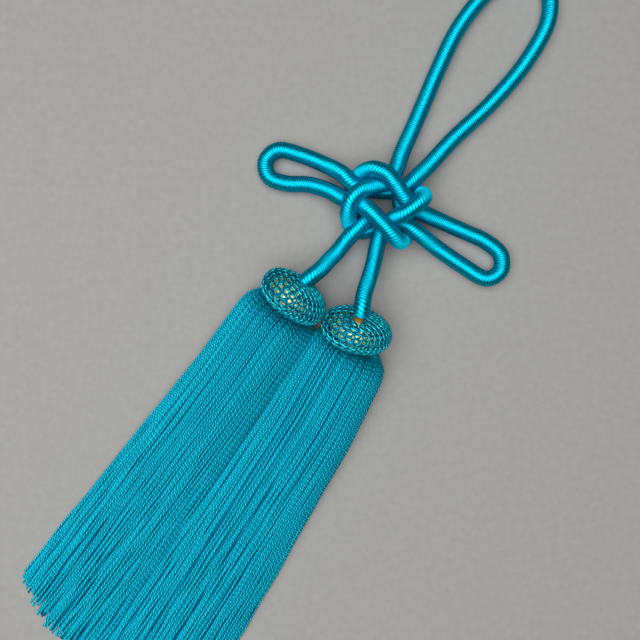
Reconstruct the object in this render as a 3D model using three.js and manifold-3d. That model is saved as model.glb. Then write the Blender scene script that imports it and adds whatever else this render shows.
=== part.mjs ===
// A double tassel on one satin cord: a hanging loop, a four-way interlaced knot with an ear at each
// side, and two tails that end in tassels. Each tassel is a bun-shaped head, a gilt core under a
// looped net, above a long skirt of threads. Everything lies on the plane z = 0, seen from above.
// Millimetres, +Z up. +X runs to the right and +Y towards the hanging loop.

import * as THREE from "three";
import { mergeVertices } from "three/addons/utils/BufferGeometryUtils.js";
import Module from "manifold-3d";

const wasm = await Module();
wasm.setup();

// Driving dimensions
const GAP = 0.3; // between pieces that touch
const CORD_DIAMETER = 7.7;
const CORD_SIDES = 10;

const HEAD_RADIUS = 16.2; // half the width of a head, over the net
const HEAD_HALF_HEIGHT = 8.6; // from the middle of a head to its pole
const HEAD_ROUNDNESS = 0.86; // 1 is an ellipse, less is squarer
const NET_THICKNESS = 1.3;
const NET_ROWS = 8; // rows of loops between the cord and the skirt
const NET_ROW_RELIEF = 0.35;
const NET_TOP_HOLE = 4.7; // radius, round the cord
const NET_BOTTOM_HOLE = 10.5; // radius, over the skirt's root
const NET_SIDES = 36;

const STRAND_PITCH = 1.5; // across the root
const STRAND_LAYERS = 5;
const STRAND_FILL = 0.74; // share of the pitch that a lock takes
const STRAND_RISE = 1.25; // thickness of a lock
const ROOT_SPREAD = 0.84; // how much of the collar the roots take
const ROOT_ROUNDNESS = 0.7; // 1 sets the outermost roots at one height
const PILE_ROUNDNESS = 0.86; // how much narrower the top row of locks is than the bottom row
const COLLAR_REACH = 8.5; // half its thickness along the skirt
const COLLAR_FLAT = 0.8; // how much of its round underside the floor takes away
const SIDE_CLEARANCE = 1.3; // keeps one skirt's edge off the other's
const END_FRAY = 5; // uneven cut at the ends
const END_SLANT = 2.5; // how much longer the right edge is than the middle
const END_ROUNDING = 7; // how much shorter still the left edge is
const FLOOR_BLOCK = { side: 400, depth: 60 };

// One row for each tassel: the middle of its head, a little under its reach so that it has a flat spot
// on the floor; the way the head's axis points (degrees from +X) and how far it stands up at the cord's
// end; where the root of its skirt is on the floor, and the way the skirt points.
const TASSELS = [
  { name: "1", head: [-11.8, 10.8, 15.5], axis: 52, tilt: 17, root: [-17.4, 4.0], run: -126.7 },
  { name: "2", head: [16.6, -4.4, 15.0], axis: 74, tilt: 24, root: [13.3, -12.8], run: -120.6 },
];

// The skirt's sections: distance from the root, half width, height of the pile and how far its middle
// lies to the right of the straight line. The last one is the end of the middle locks.
const SECTIONS = {
  1: [
    { along: 9, half: 20.1, height: 24.5, shift: -0.8 },
    { along: 40, half: 20.7, height: 19, shift: -0.2 },
    { along: 90, half: 22.8, height: 13.5, shift: -0.3 },
    { along: 182, half: 25.0, height: 8.5, shift: 0 },
  ],
  2: [
    { along: 9, half: 21.2, height: 24.5, shift: 2.3 },
    { along: 40, half: 22.7, height: 19, shift: 3.4 },
    { along: 90, half: 24.4, height: 13.5, shift: 2.2 },
    { along: 185, half: 27.4, height: 8.5, shift: -0.4 },
  ],
};
const COLLAR = { half: 17.4, height: 26.5 };

// The cord's route, chosen by hand: [x, y, height of its middle], from the first head to the second.
const ROUTE = [
  // out of the first head and down to the floor
  [-7.2, 16.7, 17.8], [-3.8, 19.6, 18.9], [0.6, 23.3, 16.4], [4.4, 27.8, 11.2], [8.1, 31.8, 8.2],
  [11.5, 36.0, 8.6], [15.2, 40.0, 11.8],
  // up through the knot's left side
  [18.6, 43.5, 12.3], [21.3, 47.3, 10.2], [19.2, 54.0, 5.0], [16.4, 58.8, 4.0], [16.0, 63.4, 4.7],
  [18.0, 66.8, 7.8],
  // over its top, to the right ear
  [20.6, 67.9, 14.2], [24.6, 67.5, 20.0], [29.3, 65.4, 21.3], [33.6, 60.8, 20.6], [37.7, 55.6, 18.6],
  [42.0, 51.5, 13.6], [47.9, 49.1, 10.3],
  // the right ear
  [57.4, 45.9, 5.5], [69.0, 41.1, 4.0], [78.0, 36.9, 4.0], [85.0, 30.5, 4.0], [84.9, 23.2, 4.0],
  [78.6, 19.5, 4.0], [66.0, 26.3, 4.0], [54.0, 34.3, 5.6], [44.9, 40.0, 12.2],
  // back under the knot to its left
  [39.3, 43.6, 11.9], [33.3, 44.5, 7.3], [25.9, 42.9, 4.6], [19.6, 41.8, 4.0], [15.9, 42.7, 4.6],
  [13.8, 44.9, 8.3],
  // up its left side and over, to the hanging loop
  [12.8, 48.9, 17.4], [14.0, 53.6, 21.2], [17.9, 57.7, 20.5], [23.7, 60.3, 16.9], [29.9, 62.9, 12.7],
  [34.2, 67.8, 11.9],
  // the hanging loop
  [38.1, 78.0, 8.5], [44.0, 91.1, 4.6], [49.8, 104.5, 4.0], [55.2, 117.2, 4.0], [65.4, 137.8, 4.0],
  [78.5, 154.2, 4.0], [86.5, 160.4, 4.0], [95.5, 163.2, 4.0], [103.6, 160.4, 4.0], [107.7, 154.2, 4.0],
  [107.4, 141.1, 4.0], [97.7, 122.6, 4.0], [81.1, 102.7, 4.0], [62.6, 85.1, 4.6], [50.5, 71.8, 8.5],
  // down under the knot's right side
  [42.7, 63.9, 12.4], [37.2, 58.3, 11.4], [37.2, 54.2, 9.2], [40.5, 48.2, 4.5], [40.7, 41.8, 4.5],
  [38.6, 37.3, 7.6],
  // over its bottom, to the left ear
  [35.8, 36.2, 15.0], [32.1, 38.8, 20.6], [27.0, 44.0, 21.6], [22.2, 48.9, 20.4], [17.1, 53.7, 13.9],
  [10.5, 55.9, 11.6],
  // the left ear
  [4.2, 60.0, 8.0], [-5.5, 63.6, 4.4], [-16.5, 64.3, 4.0], [-24.2, 67.6, 4.0], [-25.5, 74.9, 4.0],
  [-19.9, 79.8, 4.0], [-8.8, 77.5, 4.0], [2.8, 72.4, 5.9], [10.2, 67.2, 12.0],
  // back under the knot to its right
  [15.2, 62.3, 12.9], [23.8, 60.7, 7.9], [32.1, 60.4, 4.4], [38.9, 60.0, 4.3], [43.6, 59.2, 5.6],
  [46.5, 58.2, 10.0],
  // over its right side and down to the second head
  [46.9, 55.6, 17.5], [43.8, 51.9, 22.9], [38.5, 47.9, 22.6], [33.0, 45.6, 17.1], [28.9, 41.8, 13.4],
  [26.6, 35.4, 10.9], [25.0, 27.5, 9.4], [22.5, 19.0, 11.8], [20.0, 12.0, 17.6], [18.9, 6.1, 19.9],
  [18.5, 2.3, 18.1],
];

const FINISH = {
  cord: { color: 0x0b93ae, roughness: 0.38, metalness: 0 },
  net: { color: 0x1290a6, roughness: 0.5, metalness: 0 },
  core: { color: 0xd9a72e, roughness: 0.32, metalness: 0.8 },
  skirt: { color: 0x0d8fab, roughness: 0.55, metalness: 0 },
};

const direction = (degrees) => {
  const turn = THREE.MathUtils.degToRad(degrees);
  return new THREE.Vector3(Math.cos(turn), Math.sin(turn), 0);
};

// A repeatable number from 0 to 1 for strand number i
const scatter = (i) => {
  const wave = Math.sin(i * 12.9898 + 4.1) * 43758.5453;
  return wave - Math.floor(wave);
};

function toSolid(geometry) {
  const bare = geometry.clone();
  bare.deleteAttribute("normal");
  bare.deleteAttribute("uv");
  const merged = mergeVertices(bare, 1e-4);
  const vertProperties = new Float32Array(merged.attributes.position.array);
  const triVerts = new Uint32Array(merged.index.array);
  return new wasm.Manifold(new wasm.Mesh({ numProp: 3, vertProperties, triVerts }));
}

function toGeometry(solid) {
  const mesh = solid.getMesh();
  const geometry = new THREE.BufferGeometry();
  geometry.setAttribute("position", new THREE.BufferAttribute(mesh.vertProperties, 3));
  geometry.setIndex(new THREE.BufferAttribute(mesh.triVerts, 1));
  geometry.computeVertexNormals();
  return geometry;
}

function named(name, geometry, finish) {
  const mesh = new THREE.Mesh(geometry, new THREE.MeshStandardMaterial(finish));
  mesh.name = name;
  return mesh;
}

// A block whose top is the floor, for trimming what would sink into it
function belowFloor() {
  const { side, depth } = FLOOR_BLOCK;
  const block = new THREE.BoxGeometry(side, side, depth);
  block.translate(0, 0, -depth / 2);
  return toSolid(block);
}

// The cord's line takes its steps from the route's points, so the knot has more of them than the loops.
class CordLine extends THREE.CatmullRomCurve3 {
  getUtoTmapping(u) {
    return u;
  }
}

function makeCord() {
  const points = ROUTE.map((p) => new THREE.Vector3(...p));
  const line = new CordLine(points, false, "centripetal");
  const section = new THREE.Shape();
  for (let i = 0; i < CORD_SIDES; i += 1) {
    const turn = (2 * Math.PI * i) / CORD_SIDES;
    const x = (CORD_DIAMETER / 2) * Math.cos(turn);
    const y = (CORD_DIAMETER / 2) * Math.sin(turn);
    if (i === 0) section.moveTo(x, y);
    else section.lineTo(x, y);
  }
  section.closePath();
  const steps = points.length - 1;
  const tube = new THREE.ExtrudeGeometry(section, { steps, extrudePath: line, curveSegments: 1 });
  return named("cord", tube, FINISH.cord);
}

// A point on a bun's outline: turn runs from -90 degrees at the skirt's pole to 90 at the cord's.
function bunPoint(radius, halfHeight, turn) {
  const across = Math.cos(turn);
  const up = Math.sin(turn);
  return new THREE.Vector2(
    radius * Math.pow(Math.abs(across), HEAD_ROUNDNESS),
    halfHeight * Math.sign(up) * Math.pow(Math.abs(up), HEAD_ROUNDNESS),
  );
}

// The turn at which a bun's outline is this far from its axis
const turnAt = (radius, distance) => Math.acos(Math.pow(distance / radius, 1 / HEAD_ROUNDNESS));

// Lathes turn about Y, so a head's shapes are stood on Z before they are placed.
function standOnZ(geometry) {
  return geometry.rotateX(Math.PI / 2);
}

function bunGeometry(radius, halfHeight, sides, arcs) {
  const outline = [];
  for (let i = 0; i <= arcs; i += 1) {
    const turn = -Math.PI / 2 + (Math.PI * i) / arcs;
    const point = bunPoint(radius, halfHeight, turn);
    if (i === 0 || i === arcs) point.x = 0;
    outline.push(point);
  }
  return standOnZ(new THREE.LatheGeometry(outline, sides));
}

function netGeometry() {
  const low = -turnAt(HEAD_RADIUS, NET_BOTTOM_HOLE);
  const high = turnAt(HEAD_RADIUS, NET_TOP_HOLE);
  const outline = [];
  const outer = NET_ROWS * 2;
  for (let i = 0; i <= outer; i += 1) {
    const turn = low + ((high - low) * i) / outer;
    const sunk = i % 2 === 0 ? NET_ROW_RELIEF : 0;
    outline.push(bunPoint(HEAD_RADIUS - sunk, HEAD_HALF_HEIGHT - sunk, turn));
  }
  const inside = HEAD_RADIUS - NET_THICKNESS;
  const insideHeight = HEAD_HALF_HEIGHT - NET_THICKNESS;
  for (let i = NET_ROWS; i >= 0; i -= 1) {
    const turn = low + ((high - low) * i) / NET_ROWS;
    outline.push(bunPoint(inside, insideHeight, turn));
  }
  outline.push(outline[0].clone());
  return standOnZ(new THREE.LatheGeometry(outline, NET_SIDES));
}

// Turns a shape that stands on Z to a head's axis and sets it in the head's place.
function placeOnHead(geometry, tassel) {
  const tilt = THREE.MathUtils.degToRad(tassel.tilt);
  const axis = direction(tassel.axis).multiplyScalar(Math.cos(tilt));
  axis.z = Math.sin(tilt);
  const turn = new THREE.Quaternion().setFromUnitVectors(new THREE.Vector3(0, 0, 1), axis);
  geometry.applyQuaternion(turn);
  geometry.translate(...tassel.head);
  return geometry;
}

function makeNet(tassel) {
  const shell = toSolid(placeOnHead(netGeometry(), tassel));
  return named(`net_${tassel.name}`, toGeometry(shell.subtract(belowFloor())), FINISH.net);
}

function makeCore(tassel) {
  const inset = NET_THICKNESS + GAP;
  const bun = bunGeometry(HEAD_RADIUS - inset, HEAD_HALF_HEIGHT - inset, 28, 12);
  return named(`core_${tassel.name}`, placeOnHead(bun, tassel), FINISH.core);
}

// Where a strand's middle lies at a section: across the skirt and above the floor
function spot(section, strand) {
  const half = section.half - SIDE_CLEARANCE;
  return {
    along: section.along,
    across: section.shift + strand.u * half,
    height: strand.v * (section.height - STRAND_RISE),
    width: (STRAND_PITCH * STRAND_FILL * section.half) / COLLAR.half,
  };
}

// The roots fill the collar, so there the rows of strands are drawn in to its round section.
function rootSpot(strand) {
  const middle = COLLAR.height / 2 - COLLAR_FLAT;
  const reach = (COLLAR.height / 2) * ROOT_SPREAD * Math.sqrt(1 - ROOT_ROUNDNESS * strand.u * strand.u);
  return {
    along: 0,
    across: strand.u * COLLAR.half * ROOT_SPREAD,
    height: middle + (2 * strand.v - 1) * reach,
    width: STRAND_PITCH * STRAND_FILL * ROOT_SPREAD,
  };
}

// The strands of one skirt: u runs across it from -1 to 1, v from 0 on the floor to 1 at the top.
function strandPlan() {
  const plan = [];
  for (let layer = 0; layer < STRAND_LAYERS; layer += 1) {
    const v = layer / (STRAND_LAYERS - 1);
    const reach = Math.sqrt(1 - PILE_ROUNDNESS * v * v);
    const count = Math.round((2 * COLLAR.half * reach) / STRAND_PITCH);
    for (let i = 0; i < count; i += 1) {
      plan.push({ u: reach * (-1 + (2 * (i + 0.5)) / count), v });
    }
  }
  return plan;
}

// A strand has three sides, the flat one down, and runs through its spots in the skirt's own frame:
// x along it, y across it to the right, z up.
function strandGeometry(spots) {
  const vertices = [];
  for (const s of spots) {
    vertices.push(s.along, s.across - s.width / 2, s.height);
    vertices.push(s.along, s.across + s.width / 2, s.height);
    vertices.push(s.along, s.across, s.height + STRAND_RISE);
  }
  const faces = [0, 2, 1];
  for (let k = 0; k < spots.length - 1; k += 1) {
    for (let e = 0; e < 3; e += 1) {
      const a = 3 * k + e;
      const b = 3 * k + ((e + 1) % 3);
      faces.push(a, b, a + 3, b, b + 3, a + 3);
    }
  }
  const last = 3 * (spots.length - 1);
  faces.push(last, last + 1, last + 2);
  const geometry = new THREE.BufferGeometry();
  geometry.setAttribute("position", new THREE.Float32BufferAttribute(vertices, 3));
  geometry.setIndex(faces);
  return geometry;
}

function collarGeometry() {
  const ball = new THREE.SphereGeometry(1, 24, 12);
  ball.rotateX(Math.PI / 2);
  ball.scale(COLLAR_REACH, COLLAR.half, COLLAR.height / 2);
  ball.translate(0, 0, COLLAR.height / 2 - COLLAR_FLAT);
  return ball;
}

// Moves a shape from a skirt's own frame to its place on the floor
function placeSkirt(geometry, tassel) {
  const x = direction(tassel.run);
  const y = new THREE.Vector3(-x.y, x.x, 0);
  const frame = new THREE.Matrix4().makeBasis(x, y, new THREE.Vector3(0, 0, 1));
  frame.setPosition(tassel.root[0], tassel.root[1], 0);
  return geometry.applyMatrix4(frame);
}

function makeSkirt(tassel) {
  const sections = SECTIONS[tassel.name];
  const strands = strandPlan().map((strand, i) => {
    const spots = [rootSpot(strand), ...sections.map((section) => spot(section, strand))];
    const end = spots[spots.length - 1];
    end.along += END_SLANT * strand.u - END_ROUNDING * Math.min(0, strand.u) ** 2;
    end.along -= END_FRAY * scatter(i);
    return toSolid(placeSkirt(strandGeometry(spots), tassel));
  });
  const inflated = placeOnHead(
    bunGeometry(HEAD_RADIUS + GAP, HEAD_HALF_HEIGHT + GAP, NET_SIDES, 20),
    tassel,
  );
  const collar = toSolid(placeSkirt(collarGeometry(), tassel));
  const whole = wasm.Manifold.union([collar, ...strands]);
  const trimmed = whole.subtract(toSolid(inflated)).subtract(belowFloor());
  return named(`skirt_${tassel.name}`, toGeometry(trimmed), FINISH.skirt);
}

const pieces = [
  makeCord(),
  ...TASSELS.flatMap((tassel) => [makeCore(tassel), makeNet(tassel), makeSkirt(tassel)]),
];

// The origin is on the floor, under the middle of the two tassels' box.
const box = new THREE.Box3();
for (const piece of pieces.filter((p) => p.name !== "cord")) box.expandByObject(piece);
const middle = box.getCenter(new THREE.Vector3());

const group = new THREE.Group();
group.position.set(-middle.x, -middle.y, 0);
group.add(...pieces);

export default group;
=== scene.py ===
"""Looks of a double tassel: one satin cord in an interlaced knot, two netted heads and two long skirts.

Everything is in metres, +Z up, in the frame of the solids. Short sizes are given in millimetres times MM.
"""

import math

import bpy
import numpy as np
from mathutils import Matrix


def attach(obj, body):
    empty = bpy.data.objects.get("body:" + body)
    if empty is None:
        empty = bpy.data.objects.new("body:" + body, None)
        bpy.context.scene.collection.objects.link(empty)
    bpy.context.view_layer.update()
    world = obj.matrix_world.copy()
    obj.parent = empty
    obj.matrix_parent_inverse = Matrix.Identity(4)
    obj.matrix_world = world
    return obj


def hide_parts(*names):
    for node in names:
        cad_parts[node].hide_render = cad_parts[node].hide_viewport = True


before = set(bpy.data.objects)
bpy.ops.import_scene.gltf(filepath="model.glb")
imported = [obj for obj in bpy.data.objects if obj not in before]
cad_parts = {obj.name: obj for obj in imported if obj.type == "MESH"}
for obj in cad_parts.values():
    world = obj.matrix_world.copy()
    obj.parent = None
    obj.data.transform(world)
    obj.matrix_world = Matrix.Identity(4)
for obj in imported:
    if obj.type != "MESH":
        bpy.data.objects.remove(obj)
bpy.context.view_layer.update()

MM = 0.001
UP = np.array([0.0, 0.0, 1.0])
ROUND = 2 * np.pi  # a whole turn

# The knot's plan was drawn round the point under the camera. This is where that point lies.
PLAN_ORIGIN = np.array([53.25, 81.13, 0.0]) * MM

CAMERA_HEIGHT = 330 * MM
VIEW_WIDTH = 304.8 * MM  # of floor that the picture shows from side to side

# The cord
CORD_DIAMETER = 7.7 * MM
CORD_STEP = 0.3 * MM
CORD_RIBS = 4  # threads wound side by side
RIB_LEAD = 4.4 * MM  # length of cord that one thread takes for a turn
RIB_DEPTH = 0.24 * MM
RIB_SAMPLES = 6
RIB_SHADE_FADE = (0.0, 0.45)  # of a rib's height, where the painted shade in the grooves between ribs starts and ends its fade to the cord's full colour
FILAMENT = 0.5 * MM  # round the cord. A real one is too fine to show, so it is drawn coarser.
FILAMENT_STRETCH = 25  # times as long as it is wide
CURVE_SAMPLES = 24  # between two points of the route

# The heads
HEAD_RADIUS = 16.2 * MM
HEAD_HALF_HEIGHT = 8.6 * MM
HEAD_ROUNDNESS = 0.86  # at 1 the outline is an ellipse, and below it the shoulders are fuller
QUARTER = 360  # steps of the outline from one pole to the widest place
CORE_INSET = 3.8 * MM  # of the core's sides, which stand off from the net in the shade
CORE_END_INSET = 2.6 * MM
CORE_RISE = 2.4 * MM  # with which its crown comes near the net
CORE_RINGS = 40
CORE_SIDES = 96
CORE_REACH = 0.995  # of the way to its poles, where its first and last rings close it
GILT_BLOTCH = 2 * MM  # from one patch of the winding's shine to the next
GILT_FADE = (0.25, 0.45)  # of the blotches' strength, where amber starts and ends its change to yellow
CORD_SHADE_REACH = 6.5 * MM  # from the cord's end, how far painted amber shade reaches over the gilt
CORD_SHADE_FADE = 2 * MM

# The nets
NET_THREAD = 0.95 * MM
NET_SIDES = 6
NET_CELL = 3.25 * MM  # from one loop to the next along a row
NET_FEWEST = 9  # loops in a row
NET_ROW_STEP = 2.7 * MM
NET_DRAWN = 0.3  # how much closer its loops lie on the head's right than on its top
NET_BOTTOM_HOLE = 10.5 * MM  # its radius
NET_MARGIN = 0.4 * MM  # from a pole to the nearest loop
LOOP_SAMPLES = 18
LOOP_SWING = 0.6  # of a cell, to each side of the loop's middle
LOOP_REACH = 0.62  # of a row's step, above and below the row's middle
LOOP_DEPTH = 0.55  # of the thread's width, under the head's outline
LOOP_WEAVE = 0.42  # of the thread's width, in and out where loops cross
UNEVEN = 0.05  # spread of the loops' unevenness
UNEVEN_SWING = 0.5  # share of it in a loop's swing
UNEVEN_REACH = 0.6  # share of it in a loop's reach
GAP_TURN = 1.75  # from the head's right over its top, where the gap beside the cord is
GAP_WIDTH = 0.45
GAP_POWER = 6  # the higher, the fewer rows the gap opens

# The skirts
STRAND_DIAMETER = 1.32 * MM
STRAND_WAIST = 0.74  # of its width, between its two plies
STRAND_LEAD = 2.4 * MM
STRAND_STEP = 0.4 * MM
STRANDS_ON_TOP = 52
STRAND_SPREAD = 0.14  # how far the strands have moved from the edges to the middle at the end
STRAND_OFF_PLACE = 0.014  # spread of the turn over the pile by which a strand lies off its even place
STRAND_SUNK = 0.6 * MM  # the most that one lies under its neighbours
SUNK_POWER = 3  # the higher, the fewer strands are sunk
ROOT_WIDTH = 0.82  # of its own width, where a strand is drawn tight at the root
FULL_WIDTH_AT = 0.35  # of its length
END_WIDTH = 1.04  # of its own width, where it lies loose at the end
END_SLANT = 2.5 * MM  # how much longer the right edge is than the middle
END_ROUNDING = 7 * MM  # how much shorter still the left edge is
END_FRAY = 5 * MM
FRAY_POWER = 1.5  # the higher, the fewer strands are short
PLY_SHADE_FADE = (0.05, 0.55)  # of a ply's height, where the painted shade between two plies starts and ends its fade

# How a strand strays as it comes loose: how far, and the length of one wave
LONG_STRAY = (0.4 * MM, 83 * MM)
SHORT_STRAY = (0.25 * MM, 31 * MM)
RIPPLE = (0.25 * MM, 23 * MM)
FLARE = 0.5 * MM  # spread of the strands' ends to the sides

# The pile's underside stands off the floor inside the head and at the root, and then comes down to it
STAND_OFF_IN_HEAD = 5 * MM
STAND_OFF_AT_ROOT = 2 * MM
STAND_OFF_LENGTH = 14 * MM
PILE_ROUNDNESS = 0.9  # at 1 the pile is a half ellipse, and below it fuller

# The plain strands inside the skirts
INNER_LAYERS = (56, 48)  # strands in each layer, from the outer one inward
INNER_OFF_PLACE = 0.01
INNER_STEP = 7 * MM
INNER_SIDES = 5
INNER_RAGGED = 1.6  # times as frayed as the top ones
FLAT_STRANDS = 40  # on the floor
FLAT_REACH = 0.97  # of the way to the skirt's edges
FLAT_HEIGHT = 2 * MM

SKIRT_SEED = 11
SHAPE_STEP = 0.5 * MM
SHAPE_BEYOND = 20 * MM  # past the last section
SMOOTHING = 9  # steps that the curve through the sections is smoothed over

# The floor and the light
FLOOR_HALF_WIDTH = 2500 * MM
FLOOR_GRAINS = 300  # in a metre
FLOOR_FADE = (0.3, 0.7)
LAMP_PLACE = (-0.18, -0.02, 0.95)  # from the point under the camera
LAMP_WIDTH = 1300 * MM
LAMP_POWER = 17.8  # watts
ROOM_STRENGTH = 0.08

# For each tassel, in mm on the plan: the middle of its head and the root of its skirt. In degrees: the way
# the head's axis points (from +X), how far it stands up at the cord's end, and the way the skirt points.
# The hole is the radius at which the net's last row runs round the cord, and the gap is how much wider
# that hole is in one place, beside the cord's end.
TASSELS = (
    {"name": "1", "head": (-11.8, 10.8, 15.5), "axis": 52, "tilt": 17, "hole": 4.9,
     "gap": 0.0, "root": (-17.4, 4.0), "run": -126.7},
    {"name": "2", "head": (16.6, -4.4, 15.0), "axis": 74, "tilt": 24, "hole": 5.2,
     "gap": 6.5, "root": (13.3, -12.8), "run": -120.6},
)

# Each skirt's sections in mm: distance from the root, half width, height of the pile, and how far its
# middle lies to the picture's right of the straight line
SECTIONS = {
    "1": {
        "from_root": (-7, -2.5, 1, 5, 9, 40, 90, 184),
        "half_width": (9.0, 15.5, 18.4, 19.4, 19.5, 20.1, 22.2, 24.8),
        "height": (12, 12, 19.5, 23.5, 24.5, 19, 13.5, 8.5),
        "aside": (0, 0.2, 0.4, 0.2, 0, 0.6, 0.5, 0.6),
    },
    "2": {
        "from_root": (-7, -2.5, 1, 5, 9, 40, 90, 187),
        "half_width": (9.0, 15.3, 18.6, 19.9, 20.5, 21.9, 23.7, 27.6),
        "height": (12, 12, 19.5, 23.5, 24.5, 19, 13.5, 8.5),
        "aside": (0, 0.8, 1.4, 1.4, 1.5, 2.5, 1.3, -2.0),
    },
}

# The cord's route on the plan, from the first head to the second. Its points were picked on the
# photograph, an optimiser moved them to part the knot's strands, and about half were then moved again or
# added one by one.
ROUTE = (
    # out of the first head and down to the floor
    (-0.0072, 0.0167, 0.0178), (-0.0038, 0.0196, 0.0189), (0.0006, 0.0233, 0.0164),
    (0.0044, 0.0278, 0.0112), (0.0081, 0.0318, 0.0082),
    (0.0115, 0.0360, 0.0086), (0.0152, 0.0400, 0.0118),
    # up through the knot's left side
    (0.0186, 0.0435, 0.0123), (0.0213, 0.0473, 0.0102), (0.0192, 0.0540, 0.0050),
    (0.0164, 0.0588, 0.0040), (0.0160, 0.0634, 0.0047),
    (0.0180, 0.0668, 0.0078),
    # over its top, to the right ear
    (0.0206, 0.0679, 0.0142), (0.0246, 0.0675, 0.0200), (0.0293, 0.0654, 0.0213),
    (0.0336, 0.0608, 0.0206), (0.0377, 0.0556, 0.0186),
    (0.0420, 0.0515, 0.0136), (0.0479, 0.0491, 0.0103),
    # the right ear
    (0.0574, 0.0459, 0.0055), (0.0690, 0.0411, 0.0040), (0.0780, 0.0369, 0.0040),
    (0.0850, 0.0305, 0.0040), (0.0849, 0.0232, 0.0040),
    (0.0786, 0.0195, 0.0040), (0.0660, 0.0263, 0.0040), (0.0540, 0.0343, 0.0056),
    (0.0449, 0.0400, 0.0122),
    # back under the knot to its left
    (0.0393, 0.0436, 0.0119), (0.0333, 0.0445, 0.0073), (0.0259, 0.0429, 0.0046),
    (0.0196, 0.0418, 0.0040), (0.0159, 0.0427, 0.0046),
    (0.0138, 0.0449, 0.0083),
    # up its left side and over, to the hanging loop
    (0.0128, 0.0489, 0.0174), (0.0140, 0.0536, 0.0212), (0.0179, 0.0577, 0.0205),
    (0.0237, 0.0603, 0.0169), (0.0299, 0.0629, 0.0127),
    (0.0342, 0.0678, 0.0119),
    # the hanging loop
    (0.0381, 0.0780, 0.0085), (0.0440, 0.0911, 0.0046), (0.0498, 0.1045, 0.0040),
    (0.0552, 0.1172, 0.0040), (0.0654, 0.1378, 0.0040),
    (0.0785, 0.1542, 0.0040), (0.0865, 0.1604, 0.0040), (0.0955, 0.1632, 0.0040),
    (0.1036, 0.1604, 0.0040), (0.1077, 0.1542, 0.0040),
    (0.1074, 0.1411, 0.0040), (0.0977, 0.1226, 0.0040), (0.0811, 0.1027, 0.0040),
    (0.0626, 0.0851, 0.0046), (0.0505, 0.0718, 0.0085),
    # down under the knot's right side
    (0.0427, 0.0639, 0.0124), (0.0372, 0.0583, 0.0114), (0.0372, 0.0542, 0.0092),
    (0.0405, 0.0482, 0.0045), (0.0407, 0.0418, 0.0045),
    (0.0386, 0.0373, 0.0076),
    # over its bottom, to the left ear
    (0.0358, 0.0362, 0.0150), (0.0321, 0.0388, 0.0206), (0.0270, 0.0440, 0.0216),
    (0.0222, 0.0489, 0.0204), (0.0171, 0.0537, 0.0139),
    (0.0105, 0.0559, 0.0116),
    # the left ear
    (0.0042, 0.0600, 0.0080), (-0.0055, 0.0636, 0.0044), (-0.0165, 0.0643, 0.0040),
    (-0.0242, 0.0676, 0.0040), (-0.0255, 0.0749, 0.0040),
    (-0.0199, 0.0798, 0.0040), (-0.0088, 0.0775, 0.0040), (0.0028, 0.0724, 0.0059),
    (0.0102, 0.0672, 0.0120),
    # back under the knot to its right
    (0.0152, 0.0623, 0.0129), (0.0238, 0.0607, 0.0079), (0.0321, 0.0604, 0.0044),
    (0.0389, 0.0600, 0.0043), (0.0436, 0.0592, 0.0056),
    (0.0465, 0.0582, 0.0100),
    # over its right side and down to the second head
    (0.0469, 0.0556, 0.0175), (0.0438, 0.0519, 0.0229), (0.0385, 0.0479, 0.0226),
    (0.0330, 0.0456, 0.0171), (0.0289, 0.0418, 0.0134),
    (0.0266, 0.0354, 0.0109), (0.0250, 0.0275, 0.0094), (0.0225, 0.0190, 0.0118),
    (0.0200, 0.0120, 0.0176), (0.0189, 0.0061, 0.0199),
    (0.0185, 0.0023, 0.0181),
)

COLOURS = {
    "cord": "#0bdaf6",
    # painted shade in the grooves between the cord's ribs
    "cord painted shade": "#0692b0",
    "skirt": "#14cbe3",
    "skirt deep": "#11bdd6",
    "net": "#2ae8f4",
    "net deep": "#12b0c6",
    "rim": "#08668c",  # what a thread reflects where it is seen edge on
    "painted ply shade": "#0b3a68",  # painted shade over the dye, between two plies
    "clear": "#ffffff",  # leaves the dye as it is
    "gilt": "#fffa90",
    "gilt deep": "#f4b828",
    # painted shade on the gilt round the cord's end
    "gilt painted shade": "#f08a08",
    "floor": "#949390",
    "floor deep": "#8f8e8b",
    "room": "#f2f4f6",
}


def linear(name):
    """One of the colours as linear RGBA."""
    code = COLOURS[name]
    channels = [int(code[i : i + 2], 16) / 255 for i in (1, 3, 5)]
    return [c / 12.92 if c <= 0.04045 else ((c + 0.055) / 1.055) ** 2.4 for c in channels] + [1.0]


def add_node(tree, kind, links=None, stops=(), **values):
    """Adds a shader node. links are its inputs as values or other nodes' outputs, stops the places and
    the colours of its ramp, and values its other settings."""
    node = tree.nodes.new(kind)
    for key, value in values.items():
        setattr(node, key, value)
    for number, (place, colour) in enumerate(stops):
        node.color_ramp.elements[number].position = place
        node.color_ramp.elements[number].color = linear(colour)
    for key, value in (links or {}).items():
        socket = node.inputs[key]
        if isinstance(value, bpy.types.NodeSocket):
            tree.links.new(value, socket)
        else:
            socket.default_value = value
    return node


def new_material(name, **shader):
    """A material with a Principled shader that has the given settings, its node tree and that shader."""
    material = bpy.data.materials.new(name)
    material.use_nodes = True
    tree = material.node_tree
    surface = tree.nodes["Principled BSDF"]
    for key, value in shader.items():
        surface.inputs[key.replace("_", " ")].default_value = value
    return material, tree, surface


def wave_scale(width):
    """The scale of a wave texture whose bands are this wide. At scale 1 there are 20 in 2 pi metres."""
    return 2 * math.pi / (20 * width)


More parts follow.
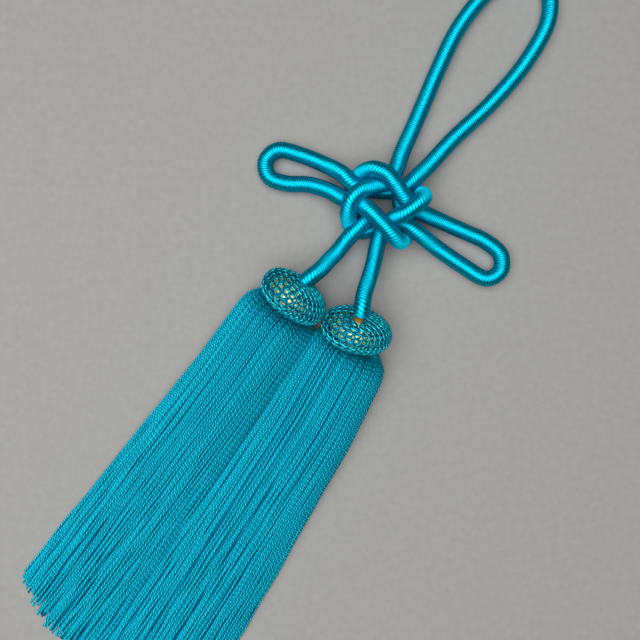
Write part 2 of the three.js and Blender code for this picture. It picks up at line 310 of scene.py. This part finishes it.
def ply_look(tree, high, low, diameter):
    """Colour and height of a two-ply thread: its own tone between two dyes, with painted shade where its
    plies meet.
    """
    coords = add_node(tree, "ShaderNodeTexCoord")
    tone = add_node(tree, "ShaderNodeAttribute", attribute_name="tone")
    dye = add_node(
        tree, "ShaderNodeValToRGB", {"Fac": tone.outputs["Fac"]}, stops=((0.0, low), (1.0, high))
    )
    ply_width = math.pi * diameter / 2
    plies = add_node(
        tree, "ShaderNodeTexWave",
        {"Vector": coords.outputs["UV"], "Scale": wave_scale(ply_width), "Phase Offset": math.pi},
        wave_type="BANDS", bands_direction="X",
    )
    # Painted shade: the groove colour darkens the thread where its plies meet.
    shade = add_node(
        tree, "ShaderNodeValToRGB", {"Fac": plies.outputs["Fac"]},
        stops=((PLY_SHADE_FADE[0], "painted ply shade"), (PLY_SHADE_FADE[1], "clear")),
    )
    mix = add_node(
        tree, "ShaderNodeMix", {"Factor": 1.0, "A": dye.outputs["Color"], "B": shade.outputs["Color"]},
        data_type="RGBA", blend_type="MULTIPLY",
    )
    return mix.outputs["Result"], plies.outputs["Fac"]


def unit(vectors):
    """The vectors' directions, one long each. The smallest length keeps a zero from dividing."""
    return vectors / np.maximum(np.linalg.norm(vectors, axis=-1, keepdims=True), 1e-12)


def headings(lines):
    """The direction of each line at each of its points."""
    return unit(np.gradient(lines, axis=-2))


def distances(lines):
    """How far along its line each point lies."""
    steps = np.linalg.norm(np.diff(lines, axis=-2), axis=-1)
    return np.concatenate([np.zeros_like(steps[..., :1]), np.cumsum(steps, axis=-1)], -1)


def smooth_line(points, step):
    """Points every step along a centripetal Catmull-Rom curve through the given ones."""
    ends = (2 * points[0] - points[1], 2 * points[-1] - points[-2])
    knots = np.vstack([ends[0], points, ends[1]])
    gaps = np.sqrt(np.linalg.norm(np.diff(knots, axis=0), axis=1))
    fine = []
    t = np.linspace(0, 1, CURVE_SAMPLES, endpoint=False)[:, None]
    for i in range(1, len(knots) - 2):
        p0, p1, p2, p3 = knots[i - 1 : i + 3]
        d0, d1, d2 = gaps[i - 1 : i + 2]
        m1 = ((p1 - p0) / d0 - (p2 - p0) / (d0 + d1) + (p2 - p1) / d1) * d1
        m2 = ((p2 - p1) / d1 - (p3 - p1) / (d1 + d2) + (p3 - p2) / d2) * d1
        fine.append(
            p1 * (2 * t**3 - 3 * t**2 + 1) + m1 * (t**3 - 2 * t**2 + t)
            + p2 * (3 * t**2 - 2 * t**3) + m2 * (t**3 - t**2)
        )
    fine = np.vstack([*fine, points[-1:]])
    along = distances(fine)
    at = np.linspace(0, along[-1], round(along[-1] / step) + 1)
    return np.stack([np.interp(at, along, column) for column in fine.T], 1)


def carried_normals(line):
    """A normal at each point of a winding line, carried along it without twist."""
    ways = headings(line)
    normals = np.empty_like(line)
    normal = np.cross(np.cross(ways[0], UP), ways[0])
    for i, way in enumerate(ways):
        normal = normal - way * normal.dot(way)
        normal = normal / np.linalg.norm(normal)
        normals[i] = normal
    return normals


def sweep(lines, normals, profile, lead=math.inf, phase=0.0, widths=1.0):
    """Rings round each line, shape (lines, points, sides, 3). profile is the radius at each side, and it
    turns to the left once in each lead, from each line's own phase."""
    ways = headings(lines)
    normals = unit(normals - ways * np.sum(normals * ways, -1, keepdims=True))
    right = np.cross(ways, normals)
    twist = ROUND * distances(lines) / lead + np.reshape(phase, (-1, 1))
    turn = twist[..., None] + ROUND * np.arange(len(profile)) / len(profile)
    radius = profile * np.asarray(widths)[..., None]
    across = (radius * np.cos(turn))[..., None] * right[:, :, None]
    upward = (radius * np.sin(turn))[..., None] * normals[:, :, None]
    return lines[:, :, None] + across + upward


def tube_faces(shape, first):
    """The quads along a group of tubes and the caps at their ends, as rows of point numbers. shape is
    that of the group's rings, and first the number of its first point."""
    tubes, stations, sides, _ = shape
    start = first + np.arange(tubes)[:, None] * stations * sides
    side = np.arange(sides)
    after = (side + 1) % sides
    ring = start[..., None] + np.arange(stations - 1)[:, None] * sides
    quads = np.stack([ring + side, ring + sides + side, ring + sides + after, ring + after], -1)
    caps = np.vstack([start + side, start + (stations - 1) * sides + side[::-1]])
    return quads.reshape(-1, 4), caps


def tube_map(rings):
    """The texture map of a group's quads in metres: round the tube and along it."""
    tubes, stations, sides, _ = rings.shape
    girth = ROUND * np.linalg.norm(rings[0, 0] - rings[0, 0].mean(0), axis=1).max()
    edges = np.arange(sides + 1) / sides * girth
    along = distances(rings.mean(2))[..., None]
    u0, u1, v0, v1 = edges[:-1], edges[1:], along[:, :-1], along[:, 1:]
    columns = [np.broadcast_to(c, (tubes, stations - 1, sides)) for c in (u0, v0, u0, v1, u1, v1, u1, v0)]
    return np.stack(columns, -1).reshape(-1, 2)


def tube_mesh(name, groups):
    """One object of closed tubes. Each group is an array of rings (tubes, points, sides, 3). Each tube has
    its own tone, and its quads a texture map."""
    rng = np.random.default_rng(sum(map(ord, name)))
    faces, maps, tones = [], [], []
    first = 0
    for rings in groups:
        tubes, stations, sides, _ = rings.shape
        tones.append(np.repeat(rng.random(tubes), stations * sides))
        quads, caps = tube_faces(rings.shape, first)
        faces += [quads, caps]
        maps += [tube_map(rings), np.zeros((caps.size, 2))]
        first += tubes * stations * sides
    corners = np.concatenate([part.ravel() for part in faces])
    sizes = np.concatenate([np.full(len(part), part.shape[1]) for part in faces])
    points = np.concatenate([rings.ravel() for rings in groups])

    mesh = bpy.data.meshes.new(name)
    mesh.vertices.add(first)
    mesh.vertices.foreach_set("co", points.astype(np.float32))
    mesh.loops.add(len(corners))
    mesh.loops.foreach_set("vertex_index", corners.astype(np.int32))
    mesh.polygons.add(len(sizes))
    mesh.polygons.foreach_set("loop_start", (np.cumsum(sizes) - sizes).astype(np.int32))
    mesh.uv_layers.new(name="round_and_along")
    mesh.uv_layers[0].data.foreach_set("uv", np.concatenate(maps).astype(np.float32).ravel())
    mesh.attributes.new("tone", "FLOAT", "POINT")
    mesh.attributes["tone"].data.foreach_set("value", np.concatenate(tones).astype(np.float32))
    mesh.update(calc_edges=True)
    mesh.validate()
    mesh.shade_smooth()
    made = bpy.data.objects.new(name, mesh)
    bpy.context.scene.collection.objects.link(made)
    return made


def finish_piece(piece, material, node):
    """Gives a piece its material, attaches it to the root body, and lets it stand for the given solid."""
    piece.data.materials.append(material)
    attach(piece, "root")
    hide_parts(node)


def make_camera():
    """Straight above the ornament, the picture's upward side towards +Y."""
    data = bpy.data.cameras.new("camera")
    data.angle = 2 * math.atan(VIEW_WIDTH / 2 / CAMERA_HEIGHT)
    camera = bpy.data.objects.new("camera", data)
    camera.location = (PLAN_ORIGIN[0], PLAN_ORIGIN[1], CAMERA_HEIGHT)
    bpy.context.scene.collection.objects.link(camera)
    bpy.context.scene.camera = camera
    # The plain transform keeps the dye as saturated as it is.
    bpy.context.scene.view_settings.view_transform = "Standard"


def satin_winding():
    """Glossy rayon threads wound round the cord. The eye sees a narrow bright cyan band along its top,
    flanks that darken to a deep blue, and fine slanting ribs, with painted shade in the grooves between
    them. Silky rayon shines in its dye's own colour, so the shader is nearly a metal's, with its shine
    drawn out across the threads."""
    material, tree, surface = new_material(
        "cord_satin", Metallic=0.97, Roughness=0.5, Specular_IOR_Level=0.3,
        Anisotropic=0.9, Anisotropic_Rotation=0.25, Specular_Tint=linear("rim"),
    )
    coords = add_node(tree, "ShaderNodeTexCoord")
    around = add_node(tree, "ShaderNodeTangent", direction_type="UV_MAP", uv_map="round_and_along")
    tree.links.new(around.outputs["Tangent"], surface.inputs["Tangent"])
    rib_width = math.pi * CORD_DIAMETER / CORD_RIBS
    ribs = add_node(
        tree, "ShaderNodeTexWave", {"Vector": coords.outputs["UV"], "Scale": wave_scale(rib_width)},
        wave_type="BANDS", bands_direction="X",
    )
    # Painted shade: the deep cord colour darkens the grooves between the ribs.
    colour = add_node(
        tree, "ShaderNodeValToRGB", {"Fac": ribs.outputs["Fac"]},
        stops=((RIB_SHADE_FADE[0], "cord painted shade"), (RIB_SHADE_FADE[1], "cord")),
    )
    tree.links.new(colour.outputs["Color"], surface.inputs["Base Color"])
    stretch = add_node(
        tree, "ShaderNodeMapping",
        {"Vector": coords.outputs["UV"], "Scale": (1.0, 1 / FILAMENT_STRETCH, 1.0)},
    )
    fibres = add_node(
        tree, "ShaderNodeTexNoise",
        {"Vector": stretch.outputs["Vector"], "Scale": 1 / FILAMENT, "Detail": 1.0},
    )
    bump = add_node(
        tree, "ShaderNodeBump",
        {"Height": fibres.outputs["Fac"], "Strength": 1.0, "Distance": 0.12 * MM},
    )
    tree.links.new(bump.outputs["Normal"], surface.inputs["Normal"])
    return material


def make_cord(material):
    """The whole cord as one tube, its wound threads raised as ribs."""
    line = smooth_line(PLAN_ORIGIN + ROUTE, CORD_STEP)
    across_rib = np.arange(CORD_RIBS * RIB_SAMPLES) / RIB_SAMPLES
    profile = CORD_DIAMETER / 2 - RIB_DEPTH * (1 - np.abs(np.sin(np.pi * across_rib)))
    rings = sweep(line[None], carried_normals(line)[None], profile, RIB_LEAD)
    cord = tube_mesh("satin_cord", [rings])
    finish_piece(cord, material, "cord")


def direction(degrees):
    """The way on the plan at an angle from +X."""
    turn = math.radians(degrees)
    return np.array([math.cos(turn), math.sin(turn), 0.0])


def bun(radius, half_height, turn):
    """A bun's outline, radius and height, turn going from its lower pole to its upper one."""
    across = np.abs(np.cos(turn)) ** HEAD_ROUNDNESS
    up = np.sign(turn) * np.abs(np.sin(turn)) ** HEAD_ROUNDNESS
    return np.stack([radius * across, half_height * up], -1)


class Head:
    """A head's own directions and its outline: radius and height at each distance over the surface."""

    def __init__(self, tassel):
        self.name = tassel["name"]
        self.gap = tassel["gap"] * MM
        self.hole = tassel["hole"] * MM
        tilt = math.radians(tassel["tilt"])
        self.centre = PLAN_ORIGIN + np.array(tassel["head"]) * MM
        self.axis = direction(tassel["axis"]) * math.cos(tilt) + UP * math.sin(tilt)
        self.right = unit(np.cross(self.axis, UP))
        self.top = np.cross(self.right, self.axis)
        self.outline = bun(
            HEAD_RADIUS, HEAD_HALF_HEIGHT, np.linspace(-np.pi / 2, np.pi / 2, 2 * QUARTER + 1)
        )
        slope = unit(np.gradient(self.outline, axis=0))
        self.facing = np.stack([slope[:, 1], -slope[:, 0]], -1)
        self.over = distances(self.outline)
        # Where the net's first row runs over the skirt, and its last round the cord
        self.first_row = np.interp(NET_BOTTOM_HOLE, self.outline[:QUARTER, 0], self.over[:QUARTER])
        self.last_row = np.interp(-self.hole, -self.outline[QUARTER:, 0], self.over[QUARTER:])

    def place(self, radius, height, angle):
        """Points at a radius and height from the middle, angle from the right over the top."""
        out = np.cos(angle)[..., None] * self.right + np.sin(angle)[..., None] * self.top
        return self.centre + radius[..., None] * out + height[..., None] * self.axis

    def surface(self, over, angle, depth):
        """Points depth under the outline and the way it faces there, over being counted from the skirt."""
        radius, height = (np.interp(over, self.over, column) for column in self.outline.T)
        out, up = (np.interp(over, self.over, column) for column in self.facing.T)
        points = self.place(radius - depth * out, height - depth * up, angle)
        normals = self.place(out, up, angle) - self.centre
        return points, normals


def gilt_winding(head_name, cord_end):
    """Gilt thread wound round the core in random patches of yellow and amber: warm yellow where light
    reaches it through the net, amber in the shade. Round the cord's end it carries painted shade, an amber
    where the cord shades it."""
    material, tree, surface = new_material(
        f"core_gilt_{head_name}", Metallic=0.45, Roughness=0.45, Anisotropic=0.7, Anisotropic_Rotation=0.25
    )
    coords = add_node(tree, "ShaderNodeTexCoord")
    around = add_node(tree, "ShaderNodeTangent", direction_type="UV_MAP", uv_map="round_and_along")
    tree.links.new(around.outputs["Tangent"], surface.inputs["Tangent"])
    blotch = add_node(
        tree, "ShaderNodeTexNoise",
        {"Vector": coords.outputs["Object"], "Scale": 1 / GILT_BLOTCH, "Detail": 3.0},
    )
    gilt = add_node(
        tree, "ShaderNodeValToRGB", {"Fac": blotch.outputs["Fac"]},
        stops=((GILT_FADE[0], "gilt deep"), (GILT_FADE[1], "gilt")),
    )
    # Painted shade: the gilt turns amber near the cord's end, where the cord shades it.
    away = add_node(
        tree, "ShaderNodeVectorMath", {0: coords.outputs["Object"], 1: tuple(cord_end)},
        operation="DISTANCE",
    )
    clear_of_painted_shade = add_node(
        tree, "ShaderNodeMapRange",
        {"Value": away.outputs["Value"], "From Min": CORD_SHADE_REACH, "From Max": CORD_SHADE_REACH + CORD_SHADE_FADE},
    )
    colour = add_node(
        tree, "ShaderNodeMix",
        {"Factor": clear_of_painted_shade.outputs["Result"], "A": linear("gilt painted shade"), "B": gilt.outputs["Color"]},
        data_type="RGBA",
    )
    tree.links.new(colour.outputs["Result"], surface.inputs["Base Color"])
    bump = add_node(
        tree, "ShaderNodeBump",
        {"Height": blotch.outputs["Fac"], "Strength": 0.5, "Distance": 0.2 * MM},
    )
    tree.links.new(bump.outputs["Normal"], surface.inputs["Normal"])
    return material


def make_core(head, material):
    """The bun inside the net, as rings about its axis."""
    turn = np.linspace(-1, 1, CORE_RINGS) * CORE_REACH * np.pi / 2
    outline = bun(HEAD_RADIUS - CORE_INSET, HEAD_HALF_HEIGHT - CORE_END_INSET, turn)
    angle = np.linspace(0, ROUND, CORE_SIDES, endpoint=False)
    rings = head.place(outline[:, :1], outline[:, 1:], angle[None]) + CORE_RISE * UP
    core = tube_mesh(f"gilt_core_{head.name}", [rings[None, :, ::-1]])
    finish_piece(core, material, f"core_{head.name}")


def looped_thread():
    """Rayon thread looped into a net: satin, a little greener than the skirts, dark at its rims, with a
    fine ply whose grooves carry painted shade."""
    material, tree, surface = new_material(
        "net_thread", Metallic=0.6, Roughness=0.4, Specular_IOR_Level=0.1, Specular_Tint=linear("rim")
    )
    colour, plies = ply_look(tree, "net", "net deep", NET_THREAD)
    tree.links.new(colour, surface.inputs["Base Color"])
    bump = add_node(
        tree, "ShaderNodeBump", {"Height": plies, "Strength": 0.8, "Distance": 0.15 * MM}
    )
    tree.links.new(bump.outputs["Normal"], surface.inputs["Normal"])
    return material


def net_row(head, row, rows):
    """One row of the net, from row 0 over the skirt to the last round the cord: a thread that loops once
    for each cell, with loops that cross at their feet, and ends where it began."""
    rng = np.random.default_rng(row)
    share = row / rows
    middle = head.first_row + (head.last_row - head.first_row) * share
    radius = np.interp(middle, head.over, head.outline[:, 0])
    cells = max(NET_FEWEST, round(ROUND * radius / NET_CELL))
    t = np.arange(cells * LOOP_SAMPLES + 1) / LOOP_SAMPLES  # in cells along the row
    turn = ROUND * t
    uneven = rng.normal(0, UNEVEN, cells)[np.floor(t + 0.5).astype(int) % cells]
    swing = LOOP_SWING + UNEVEN_SWING * uneven
    reach = NET_ROW_STEP * (LOOP_REACH + UNEVEN_REACH * uneven)
    half_cell_on = row % 2 / 2
    angle = ROUND / cells * (t - swing * np.sin(turn) + half_cell_on)
    angle = angle - NET_DRAWN * np.sin(angle)
    aside = head.gap * share**GAP_POWER * np.exp(-(((angle - GAP_TURN) / GAP_WIDTH) ** 2))
    over = middle - aside + reach * np.cos(turn)
    over = np.clip(over, NET_MARGIN, head.over[-1] - NET_MARGIN)
    depth = NET_THREAD * (LOOP_DEPTH + LOOP_WEAVE * np.sin(turn))
    line, normals = head.surface(over, angle, depth)
    # The lowest loops lie flat on the floor under the head.
    line[:, 2] = np.maximum(line[:, 2], NET_THREAD / 2)
    return line, normals


def make_net(head, material):
    """The looped net, with one closed thread for each row."""
    rows = round((head.over[-1] - head.hole - NET_BOTTOM_HOLE) / NET_ROW_STEP)
    profile = np.full(NET_SIDES, NET_THREAD / 2)
    groups = []
    for row in range(rows + 1):
        line, normals = net_row(head, row, rows)
        groups.append(sweep(line[None], normals[None], profile))
    net = tube_mesh(f"looped_net_{head.name}", groups)
    finish_piece(net, material, f"net_{head.name}")


def twisted_thread():
    """Two-ply rayon thread of the skirts: satin teal, each strand a little lighter or darker, with dark
    blue painted shade in the grooves between its plies."""
    material, tree, surface = new_material(
        "skirt_thread", Metallic=0.25, Roughness=0.55, Specular_IOR_Level=0.1, Specular_Tint=linear("rim")
    )
    colour, plies = ply_look(tree, "skirt", "skirt deep", STRAND_DIAMETER)
    tree.links.new(colour, surface.inputs["Base Color"])
    bump = add_node(
        tree, "ShaderNodeBump", {"Height": plies, "Strength": 0.6, "Distance": 0.2 * MM}
    )
    tree.links.new(bump.outputs["Normal"], surface.inputs["Normal"])
    return material


class Skirt:
    """A skirt's own frame and its sections: x along it, y to the picture's right, z up."""

    def __init__(self, tassel):
        self.name = tassel["name"]
        self.root = PLAN_ORIGIN + np.array([*tassel["root"], 0.0]) * MM
        self.along = direction(tassel["run"])
        self.across = np.array([-self.along[1], self.along[0], 0.0])
        self.sections = {name: np.array(values) * MM for name, values in SECTIONS[self.name].items()}
        self.start = self.sections["from_root"][0]
        self.length = self.sections["from_root"][-1]

    def shape(self, x):
        """Half width, height and shift aside at distances x, as smooth curves through the sections."""
        grid = np.arange(self.start, self.length + SHAPE_BEYOND, SHAPE_STEP)
        weights = np.hanning(SMOOTHING)
        weights /= weights.sum()
        found = []
        for column in ("half_width", "height", "aside"):
            values = np.interp(grid, self.sections["from_root"], self.sections[column])
            padded = np.pad(values, SMOOTHING // 2, mode="edge")
            found.append(np.interp(x, grid, np.convolve(padded, weights, "valid")))
        return found

    def place(self, x, y, z):
        """Points in the model's frame."""
        return self.root + x[..., None] * self.along + y[..., None] * self.across + z[..., None] * UP


def stray(x, far_and_wave, phase):
    """How far a strand strays at distances x."""
    far, wave = far_and_wave
    return far * np.sin(x / wave * ROUND + phase)


def strand_lines(skirt, dome, depth, rng, step, ragged=1.0):
    """Lines of strands that lie over the skirt's round pile: dome is each one's angle over it, from its
    right edge to its left, and depth how far under the top layer it lies."""
    count = len(dome)
    share = np.linspace(0, 1, round((skirt.length - skirt.start) / step))
    edge = np.cos(dome)
    end = skirt.length + END_SLANT * edge - END_ROUNDING * np.minimum(0, edge) ** 2
    end = end - END_FRAY * ragged * rng.random(count) ** FRAY_POWER
    x = skirt.start + (end[:, None] - skirt.start) * share
    half, height, shift = skirt.shape(x)
    loose = np.clip(x / skirt.length, 0, 1)
    phases = rng.random((count, 3)) * ROUND
    wander = stray(x, SHORT_STRAY, phases[:, :1]) + stray(x, LONG_STRAY, phases[:, 1:2])
    flare = rng.normal(0, FLARE, (count, 1)) * loose
    ripple = stray(x, RIPPLE, phases[:, 2:]) * loose
    dome = dome[:, None] + STRAND_SPREAD * np.sin(2 * dome)[:, None] * loose
    y = shift + (half - depth[:, None]) * np.cos(dome) + (wander + flare) * loose
    bottom = STRAND_DIAMETER / 2 * END_WIDTH
    stand_off = np.interp(
        x, [skirt.start, 0, STAND_OFF_LENGTH], [STAND_OFF_IN_HEAD, STAND_OFF_AT_ROOT, 0]
    )
    lift = np.abs(np.sin(dome)) ** PILE_ROUNDNESS
    z = stand_off + bottom + (height - stand_off - 2 * bottom - depth[:, None]) * lift + ripple
    return skirt.place(x, y, np.maximum(z, bottom))


def even_dome(count):
    """Angles over the pile at even steps, from its right edge to its left."""
    return np.pi * (np.arange(count) + 0.5) / count


def top_strands(skirt, rng):
    """Rings of the two-ply strands that lie on top."""
    dome = even_dome(STRANDS_ON_TOP) + rng.normal(0, STRAND_OFF_PLACE, STRANDS_ON_TOP)
    sunk = STRAND_SUNK * rng.random(STRANDS_ON_TOP) ** SUNK_POWER
    lines = strand_lines(skirt, dome, sunk, rng, STRAND_STEP)
    share = np.linspace(0, 1, lines.shape[1])
    widths = np.interp(share, [0, FULL_WIDTH_AT, 1], [ROOT_WIDTH, 1, END_WIDTH])
    plies = STRAND_DIAMETER / 2 * np.array([1, STRAND_WAIST, STRAND_WAIST] * 2)
    phase = rng.uniform(0, ROUND, STRANDS_ON_TOP)
    return sweep(lines, UP, plies, STRAND_LEAD, phase, widths)


def inner_strands(skirt, rng):
    """Rings of the plain strands inside: the layers under the top one, and one that lies on the floor."""
    layers = []
    for layer, count in enumerate(INNER_LAYERS, start=1):
        dome = even_dome(count) + rng.normal(0, INNER_OFF_PLACE, count)
        depth = np.full(count, layer * STRAND_DIAMETER)
        layers.append(strand_lines(skirt, dome, depth, rng, INNER_STEP, INNER_RAGGED))
    dome = np.arccos(np.linspace(-FLAT_REACH, FLAT_REACH, FLAT_STRANDS))
    flat = strand_lines(skirt, dome, np.zeros(FLAT_STRANDS), rng, INNER_STEP, INNER_RAGGED)
    flat[..., 2] = np.minimum(flat[..., 2], STRAND_DIAMETER / 2 + FLAT_HEIGHT)
    profile = np.full(INNER_SIDES, STRAND_DIAMETER / 2)
    return [sweep(lines, UP, profile) for lines in (*layers, flat)]


def make_skirt(tassel, material):
    """A skirt in three pieces: the right and the left half of its top strands, and the inner ones."""
    skirt = Skirt(tassel)
    rng = np.random.default_rng(SKIRT_SEED * int(skirt.name))
    top = top_strands(skirt, rng)
    half = STRANDS_ON_TOP // 2
    parts = {"right": [top[:half]], "left": [top[half:]], "inner": inner_strands(skirt, rng)}
    for part, groups in parts.items():
        piece = tube_mesh(f"strands_{skirt.name}_{part}", groups)
        finish_piece(piece, material, f"skirt_{skirt.name}")


def make_floor():
    """A plain pale floor of matt paint with a hardly visible grain."""
    mesh = bpy.data.meshes.new("floor")
    half = FLOOR_HALF_WIDTH
    corners = [(-half, -half, 0), (half, -half, 0), (half, half, 0), (-half, half, 0)]
    mesh.from_pydata(corners, [], [(0, 1, 2, 3)])
    floor = bpy.data.objects.new("floor", mesh)
    floor.location = PLAN_ORIGIN
    bpy.context.scene.collection.objects.link(floor)
    material, tree, surface = new_material("floor_paint", Roughness=0.8)
    coords = add_node(tree, "ShaderNodeTexCoord")
    grain = add_node(
        tree, "ShaderNodeTexNoise", {"Vector": coords.outputs["Object"], "Scale": FLOOR_GRAINS}
    )
    colour = add_node(
        tree, "ShaderNodeValToRGB", {"Fac": grain.outputs["Fac"]},
        stops=((FLOOR_FADE[0], "floor deep"), (FLOOR_FADE[1], "floor")),
    )
    tree.links.new(colour.outputs["Color"], surface.inputs["Base Color"])
    mesh.materials.append(material)


def make_lights():
    """Soft studio light: one wide lamp overhead, a little to the left, and a weak even room light."""
    data = bpy.data.lights.new("key", "AREA")
    data.size = LAMP_WIDTH
    data.energy = LAMP_POWER
    lamp = bpy.data.objects.new("key", data)
    lamp.location = PLAN_ORIGIN + LAMP_PLACE
    target = bpy.data.objects["camera"].location.copy()
    target.z = 0
    lamp.rotation_euler = (target - lamp.location).to_track_quat("-Z", "Y").to_euler()
    bpy.context.scene.collection.objects.link(lamp)
    world = bpy.data.worlds.new("room")
    world.use_nodes = True
    background = world.node_tree.nodes["Background"]
    background.inputs["Color"].default_value = linear("room")
    background.inputs["Strength"].default_value = ROOM_STRENGTH
    bpy.context.scene.world = world


make_camera()
make_cord(satin_winding())
net_look = looped_thread()
for tassel, cord_end in zip(TASSELS, (ROUTE[0], ROUTE[-1])):
    head = Head(tassel)
    make_core(head, gilt_winding(head.name, PLAN_ORIGIN + cord_end))
    make_net(head, net_look)
strand_look = twisted_thread()
for tassel in TASSELS:
    make_skirt(tassel, strand_look)
make_floor()
make_lights()
